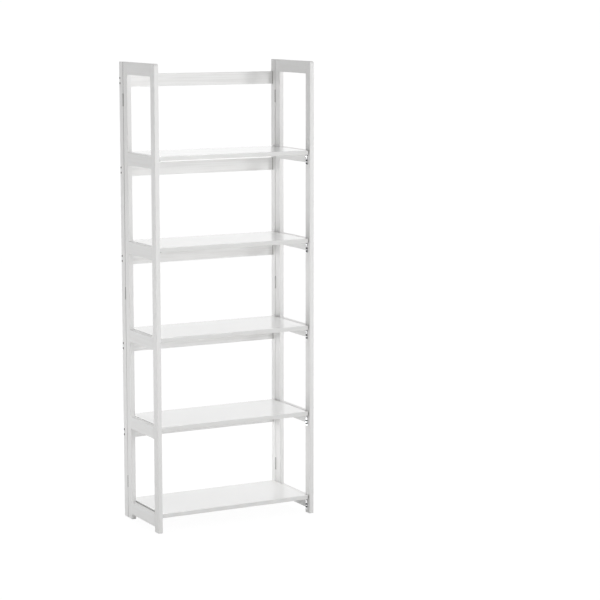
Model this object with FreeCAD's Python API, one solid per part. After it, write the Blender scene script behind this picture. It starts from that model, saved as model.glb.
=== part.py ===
import FreeCAD, Part

import math
import os

# Folding bookcase. A back frame of two posts and five rails carries five shelves on pivot pins.
# A side frame is hinged to each post. Every shelf flips up against the back rails, and then the
# side frames swing in over the shelves.
#
# Millimetres. X is the width, with the left side at negative X. Y is the depth, with the front
# at negative Y. Z is up. The origin is on the floor, in the middle of the footprint.

# ---------------------------------------------------------------- overall size
HEIGHT = 1600.0
WIDTH = 605.0
DEPTH = 290.0
SHELF_COUNT = 5

# ---------------------------------------------------------------- timber sections
SIDE_THICKNESS = 16.0       # posts, stiles and side rails, measured along X
POST_DEPTH = 30.0
FRONT_STILE_DEPTH = 32.0
REAR_STILE_DEPTH = 32.0
SIDE_RAIL_HEIGHT = 43.0
BACK_RAIL_HEIGHT = 44.0
BACK_RAIL_THICKNESS = 12.0
EDGE_EASE = 1.2             # rounding of the sticks' edges, apart from those at a butt joint
TOP_CORNER_RADIUS = 9.0     # top front corner of each side frame

# ---------------------------------------------------------------- levels
FOOT_CLEARANCE = 18.0       # floor to the underside of the lowest side rail
BOTTOM_SHELF_LIFT = 5.0     # lowest shelf's top above the top of its side rail

# ---------------------------------------------------------------- shelves
SHELF_THICKNESS = 15.0
SHELF_END_GAP = 2.5         # shelf end to side frame
SHELF_SETBACK = 7.0         # front of the side frames to the shelf's front edge
SHELF_EDGE_EASE = 1.5
SHELF_STOP_GAP = 0.5        # flipped-up shelf to the back rails

# ---------------------------------------------------------------- shelf pivot pins
PIVOT_PIN_RADIUS = 3.0
PIVOT_PIN_IN_POST = 9.0
PIVOT_PIN_IN_SHELF = 11.0
PIVOT_BORE_SPARE = 1.0      # how much deeper than the pin each bore is
PIVOT_CLEARANCE = 0.05      # radial, pin in shelf
FIXED_CLEARANCE = 0.02      # radial, pins, dowels and screws in the holes that hold them

# ---------------------------------------------------------------- hinges
HINGES_PER_SIDE = 3
HINGE_FROM_END = 130.0      # end of the post to the middle of the outer hinges
HINGE_HEIGHT = 44.0
LEAF_THICKNESS = 1.2
LEAF_GAP = 0.3              # between the two closed leaves
LEAF_EDGE_MARGIN = 0.5      # leaf's outer edge to the outer face of the post
LEAF_CORNER_RADIUS = 2.0
KNUCKLE_RADIUS = 2.1        # less than the shelves' end gap, so that they pass the knuckles
KNUCKLE_COUNT = 3
KNUCKLE_GAP = 0.3           # knuckle to its neighbours and to the notches in the wood
HINGE_PIN_RADIUS = 1.1
HINGE_PIN_CLEARANCE = 0.05
HINGE_PIN_HEAD_RADIUS = 1.8
HINGE_PIN_HEAD_HEIGHT = 0.7
HINGE_SCREW_SPACING = 28.0
HINGE_SCREW_HEAD_RADIUS = 2.9
HINGE_SCREW_RADIUS = 1.4
HINGE_SCREW_LENGTH = 17.0

# ---------------------------------------------------------------- back rail screws
RAIL_SCREW_SPACING = 18.0
RAIL_SCREW_HEAD_RADIUS = 4.0
RAIL_SCREW_HEAD_DEPTH = 3.0
RAIL_SCREW_RADIUS = 2.3
RAIL_SCREW_LENGTH = 45.0
RAIL_SCREW_SOCKET = 2.4     # radius of the hexagon socket, at its corners
RAIL_SCREW_SOCKET_DEPTH = 1.8

# ---------------------------------------------------------------- shelf catches
CATCH_WIDTH = 12.0
CATCH_THICKNESS = 1.5
CATCH_DROP = 37.0           # shelf's underside to the catch's lower end
CATCH_REACH = 13.0          # how far the tongue reaches in under the shelf
CATCH_BEND_RADIUS = 10.5    # outer radius of the bend
CATCH_CORNER_RADIUS = 3.0
CATCH_FROM_FRONT = 21.5     # front of the side frame to the catch's middle
CATCH_SEAT_CLEARANCE = 0.1  # tongue to shelf
CATCH_SCREW_DROPS = (20.5, 30.5)   # shelf's underside to each screw
CATCH_SCREW_HEAD_RADIUS = 3.2
CATCH_SCREW_HEAD_HEIGHT = 2.0
CATCH_SCREW_HEAD_EASE = 0.9
CATCH_SCREW_RADIUS = 1.5
CATCH_SCREW_LENGTH = 13.5

# ---------------------------------------------------------------- side frame dowels
DOWEL_RADIUS = 3.0
DOWEL_SPACING = 15.0
DOWEL_IN_RAIL = 17.0
DOWEL_BORE_SPARE = 0.5
DOWEL_WALL = 1.0            # wood left between a dowel's bore and the catch screws

# ---------------------------------------------------------------- screws in general
SCREW_POINT = 4.0           # length of the tapered point
SCREW_TIP_RADIUS = 0.4
SCREW_HOLE_SPARE = 1.0      # pilot hole beyond the point
CROSS_RECESS_WIDTH = 0.7
CROSS_RECESS_SPAN = 0.6     # share of the head's diameter that the cross covers
CROSS_RECESS_DEPTH = 0.8

# ---------------------------------------------------------------- planes and levels worked out
LEFT, RIGHT = -1, 1
FRONT_Y = -DEPTH / 2
REAR_Y = DEPTH / 2
INNER_X = WIDTH / 2 - SIDE_THICKNESS            # inner faces of the side frames and posts
MIDDLE_X = WIDTH / 2 - SIDE_THICKNESS / 2       # middle of their thickness
POST_FRONT_Y = REAR_Y - POST_DEPTH
HINGE_JOINT = 2 * LEAF_THICKNESS + LEAF_GAP     # post to rear stile
STILE_REAR_Y = POST_FRONT_Y - HINGE_JOINT
REAR_STILE_FRONT_Y = STILE_REAR_Y - REAR_STILE_DEPTH
FRONT_STILE_REAR_Y = FRONT_Y + FRONT_STILE_DEPTH
BACK_RAIL_FRONT_Y = REAR_Y - BACK_RAIL_THICKNESS
BACK_RAIL_MIDDLE_Y = REAR_Y - BACK_RAIL_THICKNESS / 2

LEVEL_PITCH = (HEIGHT - SIDE_RAIL_HEIGHT - FOOT_CLEARANCE) / SHELF_COUNT
SIDE_RAIL_BOTTOMS = [FOOT_CLEARANCE + LEVEL_PITCH * (SHELF_COUNT - i) for i in range(SHELF_COUNT + 1)]
BACK_RAIL_TOPS = SIDE_RAIL_BOTTOMS[:-1]         # each back rail starts where its side rail ends
SHELF_TOPS = [bottom + SIDE_RAIL_HEIGHT for bottom in SIDE_RAIL_BOTTOMS[1:]]
SHELF_TOPS[-1] += BOTTOM_SHELF_LIFT
SHELF_UNDERSIDES = [top - SHELF_THICKNESS for top in SHELF_TOPS]

# A flipped-up shelf stands just in front of the back rails, behind the front of the posts.
PIVOT_Y = BACK_RAIL_FRONT_Y - SHELF_STOP_GAP - SHELF_THICKNESS / 2
PIVOT_LEVELS = [top - SHELF_THICKNESS / 2 for top in SHELF_TOPS]

# The knuckles are let in by half at the inner corner of the joint.
KNUCKLE_X = INNER_X
HINGE_Y = POST_FRONT_Y - HINGE_JOINT / 2
HINGE_STEP = (HEIGHT - 2 * HINGE_FROM_END) / (HINGES_PER_SIDE - 1)
HINGE_LEVELS = [HINGE_FROM_END + HINGE_STEP * i for i in range(HINGES_PER_SIDE)]
HINGE_SCREW_LEVELS = [z + s * HINGE_SCREW_SPACING / 2 for z in HINGE_LEVELS for s in (-1, 1)]

RAIL_SCREW_LEVELS = [top - BACK_RAIL_HEIGHT / 2 + s * RAIL_SCREW_SPACING / 2
                     for top in BACK_RAIL_TOPS for s in (-1, 1)]
CATCH_Y = FRONT_Y + CATCH_FROM_FRONT
CATCH_SCREW_LEVELS = [under - drop for under in SHELF_UNDERSIDES for drop in CATCH_SCREW_DROPS]

# The dowels stop short of the catch screws, which cross the front stile behind its middle.
DOWEL_IN_STILE = (FRONT_STILE_DEPTH - CATCH_FROM_FRONT - CATCH_SCREW_RADIUS
                  - DOWEL_WALL - DOWEL_BORE_SPARE)

X_AXIS = FreeCAD.Vector(1, 0, 0)
Y_AXIS = FreeCAD.Vector(0, 1, 0)
Z_AXIS = FreeCAD.Vector(0, 0, 1)
PARALLEL = 0.999            # cosine beyond which an edge counts as lying along an axis


# ---------------------------------------------------------------- plain shapes
def block(x0, x1, y0, y1, z0, z1):
    """A box between two corners."""
    return Part.makeBox(x1 - x0, y1 - y0, z1 - z0, FreeCAD.Vector(x0, y0, z0))


def rod(radius, length, start, direction):
    """A round bar from a start point along a direction."""
    return Part.makeCylinder(radius, length, start, direction)


def eased(solid, radius, length_axis):
    """Rounds the edges of a stick that run along its length, and leaves its ends square."""
    along = [e for e in solid.Edges if abs(e.tangentAt(e.FirstParameter).dot(length_axis)) > PARALLEL]
    return solid.makeFillet(radius, along)


def upright(y0, y1):
    """A right-hand post or stile, from the floor to the top, with every edge eased."""
    stick = block(INNER_X, WIDTH / 2, y0, y1, 0, HEIGHT)
    return stick.makeFillet(EDGE_EASE, stick.Edges)


def cut_all(solid, tools):
    """Cuts every tool out of a solid."""
    return solid.cut(tools) if tools else solid


def mirrored(shape):
    """The left-hand twin of a right-hand shape."""
    return shape.mirror(FreeCAD.Vector(0, 0, 0), X_AXIS)


def placed(shape, origin, direction):
    """Turns a shape made along +Z so that it points along a direction, and moves it to a point."""
    turn = FreeCAD.Rotation(Z_AXIS, direction)
    return shape.transformGeometry(FreeCAD.Placement(origin, turn).toMatrix())


# ---------------------------------------------------------------- screws and their holes
def screw_shank(radius, length):
    """The shank and tapered point of a screw, from z = 0 up to its length."""
    straight = Part.makeCylinder(radius, length - SCREW_POINT)
    point = Part.makeCone(radius, SCREW_TIP_RADIUS, SCREW_POINT, FreeCAD.Vector(0, 0, length - SCREW_POINT))
    return straight.fuse(point).removeSplitter()


def cross_recess(head_radius):
    """The cross-shaped driver recess, cut into a head whose face is at z = 0."""
    half = head_radius * CROSS_RECESS_SPAN
    wide = CROSS_RECESS_WIDTH / 2
    bar = block(-half, half, -wide, wide, 0, CROSS_RECESS_DEPTH)
    return bar.fuse(block(-wide, wide, -half, half, 0, CROSS_RECESS_DEPTH))


def hinge_screw():
    """A small countersunk screw, its flat face at z = 0."""
    head = Part.makeCone(HINGE_SCREW_HEAD_RADIUS, HINGE_SCREW_RADIUS, LEAF_THICKNESS)
    return head.fuse(screw_shank(HINGE_SCREW_RADIUS, HINGE_SCREW_LENGTH)).cut(
        cross_recess(HINGE_SCREW_HEAD_RADIUS)).removeSplitter()


def rail_screw():
    """A countersunk screw with a hexagon socket, its flat face at z = 0."""
    head = Part.makeCone(RAIL_SCREW_HEAD_RADIUS, RAIL_SCREW_RADIUS, RAIL_SCREW_HEAD_DEPTH)
    corners = [FreeCAD.Vector(RAIL_SCREW_SOCKET * math.cos(math.radians(60 * i)),
                              RAIL_SCREW_SOCKET * math.sin(math.radians(60 * i)), 0) for i in range(7)]
    socket = Part.Face(Part.makePolygon(corners)).extrude(Z_AXIS * RAIL_SCREW_SOCKET_DEPTH)
    return head.fuse(screw_shank(RAIL_SCREW_RADIUS, RAIL_SCREW_LENGTH)).cut(socket).removeSplitter()


def catch_screw():
    """A pan-head screw. The head stands below z = 0, where it meets the catch."""
    head = Part.makeCylinder(CATCH_SCREW_HEAD_RADIUS, CATCH_SCREW_HEAD_HEIGHT,
                             FreeCAD.Vector(0, 0, -CATCH_SCREW_HEAD_HEIGHT))
    crown = [e for e in head.Edges if e.BoundBox.ZMax < -CATCH_SCREW_HEAD_HEIGHT / 2 and len(e.Vertexes) == 1]
    head = head.makeFillet(CATCH_SCREW_HEAD_EASE, crown)
    recess = cross_recess(CATCH_SCREW_HEAD_RADIUS)
    recess.translate(FreeCAD.Vector(0, 0, -CATCH_SCREW_HEAD_HEIGHT))
    return head.fuse(screw_shank(CATCH_SCREW_RADIUS, CATCH_SCREW_LENGTH)).cut(recess).removeSplitter()


def countersink(head_radius, radius, depth):
    """The tapered seat of a countersunk head, its mouth at z = 0."""
    return Part.makeCone(head_radius + FIXED_CLEARANCE, radius + FIXED_CLEARANCE, depth)


# ---------------------------------------------------------------- places of fasteners, right side
def hinge_screw_points(y):
    """Where the hinge screws start, on a plane of constant y."""
    return [FreeCAD.Vector(MIDDLE_X, y, z) for z in HINGE_SCREW_LEVELS]


def rail_screw_points():
    """Where the back rail screws start, on the outer face of the post."""
    return [FreeCAD.Vector(WIDTH / 2, BACK_RAIL_MIDDLE_Y, z) for z in RAIL_SCREW_LEVELS]


def catch_screw_points():
    """Where the catch screws' heads meet the catches."""
    return [FreeCAD.Vector(INNER_X - CATCH_THICKNESS, CATCH_Y, z) for z in CATCH_SCREW_LEVELS]


def pivot_pin_points():
    """Where the pivot pins end inside the shelves."""
    shelf_end = INNER_X - SHELF_END_GAP
    return [FreeCAD.Vector(shelf_end - PIVOT_PIN_IN_SHELF, PIVOT_Y, z) for z in PIVOT_LEVELS]


def dowel_points(level):
    """The two dowels' places in a rail, as (y, z) of the joint with each stile."""
    middle = SIDE_RAIL_BOTTOMS[level] + SIDE_RAIL_HEIGHT / 2
    return [(y, middle + s * DOWEL_SPACING / 2)
            for y in (FRONT_STILE_REAR_Y, REAR_STILE_FRONT_Y) for s in (-1, 1)]


def dowel_bar(y, z, radius, spare):
    """A dowel across one joint, or the bore for it where spare is its extra depth."""
    into_rail = 1 if y == FRONT_STILE_REAR_Y else -1
    start = FreeCAD.Vector(MIDDLE_X, y - into_rail * (DOWEL_IN_STILE + spare), z)
    return rod(radius, DOWEL_IN_STILE + DOWEL_IN_RAIL + 2 * spare, start, Y_AXIS * into_rail)


def dowel_bores(level):
    """The bores for one rail's dowels."""
    return [dowel_bar(y, z, DOWEL_RADIUS + FIXED_CLEARANCE, DOWEL_BORE_SPARE)
            for y, z in dowel_points(level)]


def shank_holes(points, direction, radius, length):
    """Pilot holes for the shanks of a row of screws."""
    return [rod(radius + FIXED_CLEARANCE, length + SCREW_HOLE_SPARE, p, direction) for p in points]


def knuckle_notches():
    """The room for the hinge knuckles in the right post and rear stile."""
    spare = HINGE_PIN_HEAD_HEIGHT + KNUCKLE_GAP
    return [rod(KNUCKLE_RADIUS + KNUCKLE_GAP, HINGE_HEIGHT + 2 * spare,
                FreeCAD.Vector(KNUCKLE_X, HINGE_Y, z - HINGE_HEIGHT / 2 - spare), Z_AXIS)
            for z in HINGE_LEVELS]


# ---------------------------------------------------------------- back frame
def back_post():
    """The right post, with holes for the rail screws, hinge screws and pivot pins."""
    stick = upright(POST_FRONT_Y, REAR_Y)
    holes = shank_holes(rail_screw_points(), -X_AXIS, RAIL_SCREW_RADIUS, RAIL_SCREW_LENGTH)
    seat = countersink(RAIL_SCREW_HEAD_RADIUS, RAIL_SCREW_RADIUS, RAIL_SCREW_HEAD_DEPTH)
    holes += [placed(seat, p, -X_AXIS) for p in rail_screw_points()]
    holes += shank_holes(hinge_screw_points(HINGE_Y), Y_AXIS, HINGE_SCREW_RADIUS, HINGE_SCREW_LENGTH)
    holes += [rod(PIVOT_PIN_RADIUS + FIXED_CLEARANCE, PIVOT_PIN_IN_POST + PIVOT_BORE_SPARE,
                  FreeCAD.Vector(INNER_X, PIVOT_Y, z), X_AXIS) for z in PIVOT_LEVELS]
    return cut_all(stick, holes + knuckle_notches())


def back_rail(level):
    """One back rail, screwed through the posts at both ends."""
    top = BACK_RAIL_TOPS[level]
    stick = eased(block(-INNER_X, INNER_X, BACK_RAIL_FRONT_Y, REAR_Y, top - BACK_RAIL_HEIGHT, top),
                  EDGE_EASE, X_AXIS)
    points = [p for p in rail_screw_points() if top - BACK_RAIL_HEIGHT < p.z < top]
    right = shank_holes(points, -X_AXIS, RAIL_SCREW_RADIUS, RAIL_SCREW_LENGTH)
    return cut_all(stick, right + [mirrored(hole) for hole in right])


def rail_screws():
    """The screws through the right post into the back rails."""
    return [placed(rail_screw(), p, -X_AXIS) for p in rail_screw_points()]


def pivot_pins():
    """The steel pins in the right post that the shelves turn on."""
    length = PIVOT_PIN_IN_SHELF + SHELF_END_GAP + PIVOT_PIN_IN_POST
    return [rod(PIVOT_PIN_RADIUS, length, p, X_AXIS) for p in pivot_pin_points()]


# ---------------------------------------------------------------- hinges
def knuckle_span(index):
    """The lower and upper end of one knuckle, measured from the hinge's lower end."""
    length = (HINGE_HEIGHT - (KNUCKLE_COUNT - 1) * KNUCKLE_GAP) / KNUCKLE_COUNT
    low = index * (length + KNUCKLE_GAP)
    return low, low + length


def hinge_leaf(level, toward, own_knuckles):
    """One leaf with its knuckles. toward is +1 for the post's leaf and -1 for the side frame's."""
    base = level - HINGE_HEIGHT / 2
    near = HINGE_Y + toward * LEAF_GAP / 2
    far = near + toward * LEAF_THICKNESS
    y0, y1 = min(near, far), max(near, far)
    inner = KNUCKLE_X + KNUCKLE_RADIUS + KNUCKLE_GAP
    outer = WIDTH / 2 - LEAF_EDGE_MARGIN
    leaf = block(inner, outer, y0, y1, base, base + HINGE_HEIGHT)
    corners = [e for e in leaf.Edges if e.BoundBox.XMin > outer - LEAF_EDGE_MARGIN
               and e.BoundBox.YLength > LEAF_THICKNESS / 2]
    leaf = leaf.makeFillet(LEAF_CORNER_RADIUS, corners)
    for index in own_knuckles:
        low, high = knuckle_span(index)
        barrel = rod(KNUCKLE_RADIUS, high - low, FreeCAD.Vector(KNUCKLE_X, HINGE_Y, base + low), Z_AXIS)
        web = block(KNUCKLE_X, inner, y0, y1, base + low, base + high)
        leaf = leaf.fuse([barrel, web])
    tools = [rod(HINGE_PIN_RADIUS + HINGE_PIN_CLEARANCE, HINGE_HEIGHT,
                 FreeCAD.Vector(KNUCKLE_X, HINGE_Y, base), Z_AXIS)]
    for s in (-1, 1):
        point = FreeCAD.Vector(MIDDLE_X, near, level + s * HINGE_SCREW_SPACING / 2)
        seat = countersink(HINGE_SCREW_HEAD_RADIUS, HINGE_SCREW_RADIUS, LEAF_THICKNESS)
        tools.append(placed(seat, point, Y_AXIS * toward))
    return cut_all(leaf, tools).removeSplitter()


def post_leaves():
    """The leaves on the right post, with the outer knuckles."""
    return [hinge_leaf(z, 1, range(0, KNUCKLE_COUNT, 2)) for z in HINGE_LEVELS]


def frame_leaves():
    """The leaves on the right side frame, with the knuckles between."""
    return [hinge_leaf(z, -1, range(1, KNUCKLE_COUNT, 2)) for z in HINGE_LEVELS]


def hinge_pins():
    """The right-hand hinge pins, headed at both ends."""
    pins = []
    for level in HINGE_LEVELS:
        low = FreeCAD.Vector(KNUCKLE_X, HINGE_Y, level - HINGE_HEIGHT / 2)
        pin = rod(HINGE_PIN_RADIUS, HINGE_HEIGHT, low, Z_AXIS)
        foot = rod(HINGE_PIN_HEAD_RADIUS, HINGE_PIN_HEAD_HEIGHT, low, -Z_AXIS)
        head = rod(HINGE_PIN_HEAD_RADIUS, HINGE_PIN_HEAD_HEIGHT, low + Z_AXIS * HINGE_HEIGHT, Z_AXIS)
        pins.append(pin.fuse([foot, head]).removeSplitter())
    return pins


def post_hinge_screws():
    """The screws that hold the leaves to the right post."""
    return [placed(hinge_screw(), p, Y_AXIS) for p in hinge_screw_points(HINGE_Y + LEAF_GAP / 2)]


def frame_hinge_screws():
    """The screws that hold the leaves to the right side frame."""
    return [placed(hinge_screw(), p, -Y_AXIS) for p in hinge_screw_points(HINGE_Y - LEAF_GAP / 2)]


# ---------------------------------------------------------------- side frames
def front_stile():
    """The right front stile. Its top front corner is rounded."""
    stick = block(INNER_X, WIDTH / 2, FRONT_Y, FRONT_STILE_REAR_Y, 0, HEIGHT)
    corner = [e for e in stick.Edges if e.BoundBox.YMax < FRONT_Y + EDGE_EASE
              and e.BoundBox.ZMin > HEIGHT - EDGE_EASE]
    stick = stick.makeFillet(TOP_CORNER_RADIUS, corner)
    stick = stick.makeFillet(EDGE_EASE, stick.Edges)
    holes = shank_holes(catch_screw_points(), X_AXIS, CATCH_SCREW_RADIUS, CATCH_SCREW_LENGTH)
    for level in range(SHELF_COUNT + 1):
        holes += dowel_bores(level)
    return cut_all(stick, holes)


def rear_stile():
    """The right rear stile, which carries the hinge leaves."""
    stick = upright(REAR_STILE_FRONT_Y, STILE_REAR_Y)
    holes = shank_holes(hinge_screw_points(HINGE_Y), -Y_AXIS, HINGE_SCREW_RADIUS, HINGE_SCREW_LENGTH)
    for level in range(SHELF_COUNT + 1):
        holes += dowel_bores(level)
    return cut_all(stick, holes + knuckle_notches())


def side_rail(level):
    """One right side rail, dowelled between the stiles."""
    bottom = SIDE_RAIL_BOTTOMS[level]
    stick = eased(block(INNER_X, WIDTH / 2, FRONT_STILE_REAR_Y, REAR_STILE_FRONT_Y,
                        bottom, bottom + SIDE_RAIL_HEIGHT), EDGE_EASE, Y_AXIS)
    return cut_all(stick, dowel_bores(level))


def side_dowels():
    """All the dowels of the right side frame."""
    return [dowel_bar(y, z, DOWEL_RADIUS, 0)
            for level in range(SHELF_COUNT + 1) for y, z in dowel_points(level)]


def catch(underside):
    """A bent steel strip on the right front stile. Its tongue carries one shelf's end."""
    top = underside - CATCH_SEAT_CLEARANCE
    inner_bend = CATCH_BEND_RADIUS - CATCH_THICKNESS
    centre_x, centre_z = INNER_X - CATCH_BEND_RADIUS, top - CATCH_BEND_RADIUS
    tip, bottom = INNER_X - CATCH_REACH, underside - CATCH_DROP
    y0 = CATCH_Y - CATCH_WIDTH / 2

    def at(x, z):
        return FreeCAD.Vector(x, y0, z)

    def bend(radius):
        half = radius * math.sqrt(0.5)
        return Part.Arc(at(centre_x + radius, centre_z), at(centre_x + half, centre_z + half),
                        at(centre_x, centre_z + radius)).toShape()

    under = top - CATCH_THICKNESS
    face_x = INNER_X - CATCH_THICKNESS
    edges = [Part.makeLine(at(INNER_X, bottom), at(INNER_X, centre_z)), bend(CATCH_BEND_RADIUS),
             Part.makeLine(at(centre_x, top), at(tip, top)), Part.makeLine(at(tip, top), at(tip, under)),
             Part.makeLine(at(tip, under), at(centre_x, under)), bend(inner_bend),
             Part.makeLine(at(face_x, centre_z), at(face_x, bottom)),
             Part.makeLine(at(face_x, bottom), at(INNER_X, bottom))]
    strip = Part.Face(Part.Wire(Part.sortEdges(edges)[0])).extrude(Y_AXIS * CATCH_WIDTH)
    corners = [e for e in strip.Edges if e.BoundBox.ZMax < bottom + CATCH_THICKNESS
               and e.BoundBox.XLength > CATCH_THICKNESS / 2]
    strip = strip.makeFillet(CATCH_CORNER_RADIUS, corners)
    holes = [rod(CATCH_SCREW_RADIUS + FIXED_CLEARANCE, CATCH_THICKNESS,
                 FreeCAD.Vector(face_x, CATCH_Y, underside - drop), X_AXIS) for drop in CATCH_SCREW_DROPS]
    return cut_all(strip, holes)


def catches():
    """The five catches of the right side frame."""
    return [catch(underside) for underside in SHELF_UNDERSIDES]


def catch_screws():
    """The screws that hold the right-hand catches."""
    return [placed(catch_screw(), p, X_AXIS) for p in catch_screw_points()]


# ---------------------------------------------------------------- shelves
def shelf(level):
    """One shelf. Its rear edge is a half round about the pivot pins, so that it can flip up."""
    low, top, pivot = SHELF_UNDERSIDES[level], SHELF_TOPS[level], PIVOT_LEVELS[level]
    end = INNER_X - SHELF_END_GAP
    front = FRONT_Y + SHELF_SETBACK
    board = block(-end, end, front, PIVOT_Y, low, top)
    nose = rod(SHELF_THICKNESS / 2, 2 * end, FreeCAD.Vector(-end, PIVOT_Y, pivot), X_AXIS)
    board = board.fuse(nose).removeSplitter()
    rims = [e for e in board.Edges if e.BoundBox.YMax < front + SHELF_EDGE_EASE
            or e.BoundBox.XLength < SHELF_EDGE_EASE]
    board = board.makeFillet(SHELF_EDGE_EASE, rims)
    bore = PIVOT_PIN_IN_SHELF + PIVOT_BORE_SPARE
    bores = [rod(PIVOT_PIN_RADIUS + PIVOT_CLEARANCE, bore, FreeCAD.Vector(side * end, PIVOT_Y, pivot),
                 X_AXIS * -side) for side in (LEFT, RIGHT)]
    return cut_all(board, bores)


# ---------------------------------------------------------------- writing the nodes
def save(name, solids):
    """Writes one node, which may hold several separate solids."""
    shape = solids[0] if len(solids) == 1 else Part.makeCompound(solids)
    shape.exportStep(os.path.join("parts", name + ".step"))


def save_pair(name, solids):
    """Writes a node for the right side and its mirror image for the left."""
    save("right_" + name, solids)
    save("left_" + name, [mirrored(solid) for solid in solids])


os.makedirs("parts", exist_ok=True)

save_pair("back_post", [back_post()])
for rail_number in range(SHELF_COUNT):
    save("back_rail_%d" % (rail_number + 1), [back_rail(rail_number)])
save_pair("rail_screws", rail_screws())
save_pair("shelf_pivot_pins", pivot_pins())

save_pair("post_hinge_leaves", post_leaves())
save_pair("post_hinge_screws", post_hinge_screws())
save_pair("hinge_pins", hinge_pins())
save_pair("frame_hinge_leaves", frame_leaves())
save_pair("frame_hinge_screws", frame_hinge_screws())

save_pair("front_stile", [front_stile()])
save_pair("rear_stile", [rear_stile()])
for rail_number in range(SHELF_COUNT + 1):
    save_pair("side_rail_%d" % (rail_number + 1), [side_rail(rail_number)])
save_pair("side_dowels", side_dowels())
save_pair("shelf_catches", catches())
save_pair("catch_screws", catch_screws())

for shelf_number in range(SHELF_COUNT):
    save("shelf_board_%d" % (shelf_number + 1), [shelf(shelf_number)])
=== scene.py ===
import math

import bpy
import numpy as np
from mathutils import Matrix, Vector


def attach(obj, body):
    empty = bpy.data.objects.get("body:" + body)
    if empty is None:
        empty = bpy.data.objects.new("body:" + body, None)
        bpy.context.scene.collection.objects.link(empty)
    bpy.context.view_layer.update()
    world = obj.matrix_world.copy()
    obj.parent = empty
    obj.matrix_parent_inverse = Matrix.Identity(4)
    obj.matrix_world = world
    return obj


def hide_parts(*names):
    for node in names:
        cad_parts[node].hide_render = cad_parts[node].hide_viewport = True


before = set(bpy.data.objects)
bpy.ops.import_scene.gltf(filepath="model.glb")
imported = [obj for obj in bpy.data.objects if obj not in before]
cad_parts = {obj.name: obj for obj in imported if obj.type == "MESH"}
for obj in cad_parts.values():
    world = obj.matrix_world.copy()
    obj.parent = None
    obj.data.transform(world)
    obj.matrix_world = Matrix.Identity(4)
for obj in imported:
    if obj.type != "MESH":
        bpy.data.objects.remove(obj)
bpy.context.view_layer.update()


# ---- The room: white walls, a white paper floor, five soft lamps and the camera.
# The bookcase stands open, turned so that its front and its left side show.
# The camera is a little above the middle of it, far off, with a long lens.
camera_place = (-3.118, -6.3745, 1.8255)
camera_pitch = 0.1478          # radians below the level
camera_turn = 0.4953           # radians to the right of straight back
sensor_width = 36.0            # millimetres
picture_width = 600            # pixels
focal_length = 2047.8          # pixels
sight = 100.0                  # how far the camera sees, in metres

camera_data = bpy.data.cameras.new("view")
camera_data.sensor_width = sensor_width
camera_data.lens = focal_length / picture_width * sensor_width
camera_data.clip_end = sight
camera = bpy.data.objects.new("view", camera_data)
camera.location = camera_place
camera.rotation_euler = (math.pi / 2 - camera_pitch, 0.0, -camera_turn)
bpy.context.scene.collection.objects.link(camera)
bpy.context.scene.camera = camera
bpy.context.scene.view_settings.view_transform = "Standard"


class Shade:
    """A shader value: wraps one output socket, so that sums and products of it add Math nodes."""

    tree = None

    def __init__(self, socket):
        self.socket = socket

    @classmethod
    def start(cls, material):
        """Empties the node tree of a material or of the world and works in it from now on."""
        material.use_nodes = True
        cls.tree = material.node_tree
        cls.tree.nodes.clear()

    @classmethod
    def make(cls, kind, settings=None, output=0, **inputs):
        """Adds one node, sets its settings, then its sockets, and gives back one of its outputs.

        A socket is given by its name, or by the letter i and its number. output is a name or number.
        """
        node = cls.tree.nodes.new(kind)
        for name, value in (settings or {}).items():
            setattr(node, name, value)
        for name, value in inputs.items():
            key = int(name[1:]) if name[0] == "i" and name[1:].isdigit() else name.replace("_", " ")
            socket = node.inputs[key]
            if isinstance(value, Shade):
                cls.tree.links.new(value.socket, socket)
            else:
                socket.default_value = value
        return cls(node.outputs[output]) if len(node.outputs) else node

    def maths(self, operation, other=0.0):
        """This value, and another where the operation takes two, through one Math node."""
        return Shade.make("ShaderNodeMath", {"operation": operation}, i0=self, i1=other)

    def __add__(self, other):
        return self.maths("ADD", other)

    __radd__ = __add__

    def __sub__(self, other):
        return self.maths("SUBTRACT", other)

    def __rsub__(self, other):
        return (self * -1.0) + other

    def __mul__(self, other):
        return self.maths("MULTIPLY", other)

    def over(self, low, high):
        """A smooth step: 0 below low, 1 above high."""
        return Shade.make("ShaderNodeMapRange", {"interpolation_type": "SMOOTHSTEP"},
                          Value=self, From_Min=low, From_Max=high)

    def between(self, first, second):
        """A colour between two others, by this value from 0 to 1."""
        return Shade.make("ShaderNodeMix", {"data_type": "RGBA", "clamp_factor": True}, output=2,
                          i0=self, i6=first, i7=second)


def part_of(vector, axis):
    """One of a vector's three parts."""
    return Shade.make("ShaderNodeSeparateXYZ", output="XYZ".index(axis), Vector=vector)


def seen_rays():
    """1 for rays from the eye, gloss or glass, 0 for rays that carry diffuse light."""
    straight, gloss, glass = (Shade.make("ShaderNodeLightPath", output=f"Is {kind} Ray")
                              for kind in ("Camera", "Glossy", "Transmission"))
    return (straight + gloss + glass).maths("MINIMUM", 1.0)


# The walls look white. The one at the right lights the bookcase most, the ceiling less and the
# others least: each change below is for light from straight along its axis.
pure_white = (1.0, 1.0, 1.0, 1.0)
wall_light = 1.2               # what they shine with before the changes
wall_seen = 1.02               # what the eye sees of them
wall_changes = (("Z", 1.0, -0.28),             # the ceiling
                ("X", -1.0, -0.7),             # the left wall
                ("X", 1.0, 0.31),              # the right wall
                ("Y", -1.0, -0.68),            # the wall in front of the bookcase
                ("Y", 1.0, -0.5))              # the wall behind it
world = bpy.data.worlds.new("studio")
bpy.context.scene.world = world
Shade.start(world)
toward = Shade.make("ShaderNodeTexCoord", output="Generated")
lighting = wall_light
for axis, way, change in wall_changes:
    lighting = (part_of(toward, axis) * way).maths("MAXIMUM", 0.0) * change + lighting
eye = seen_rays()
walls = Shade.make("ShaderNodeBackground", Color=pure_white,
                   Strength=eye * wall_seen + (1 - eye) * lighting)
Shade.make("ShaderNodeOutputWorld", Surface=walls)

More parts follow.
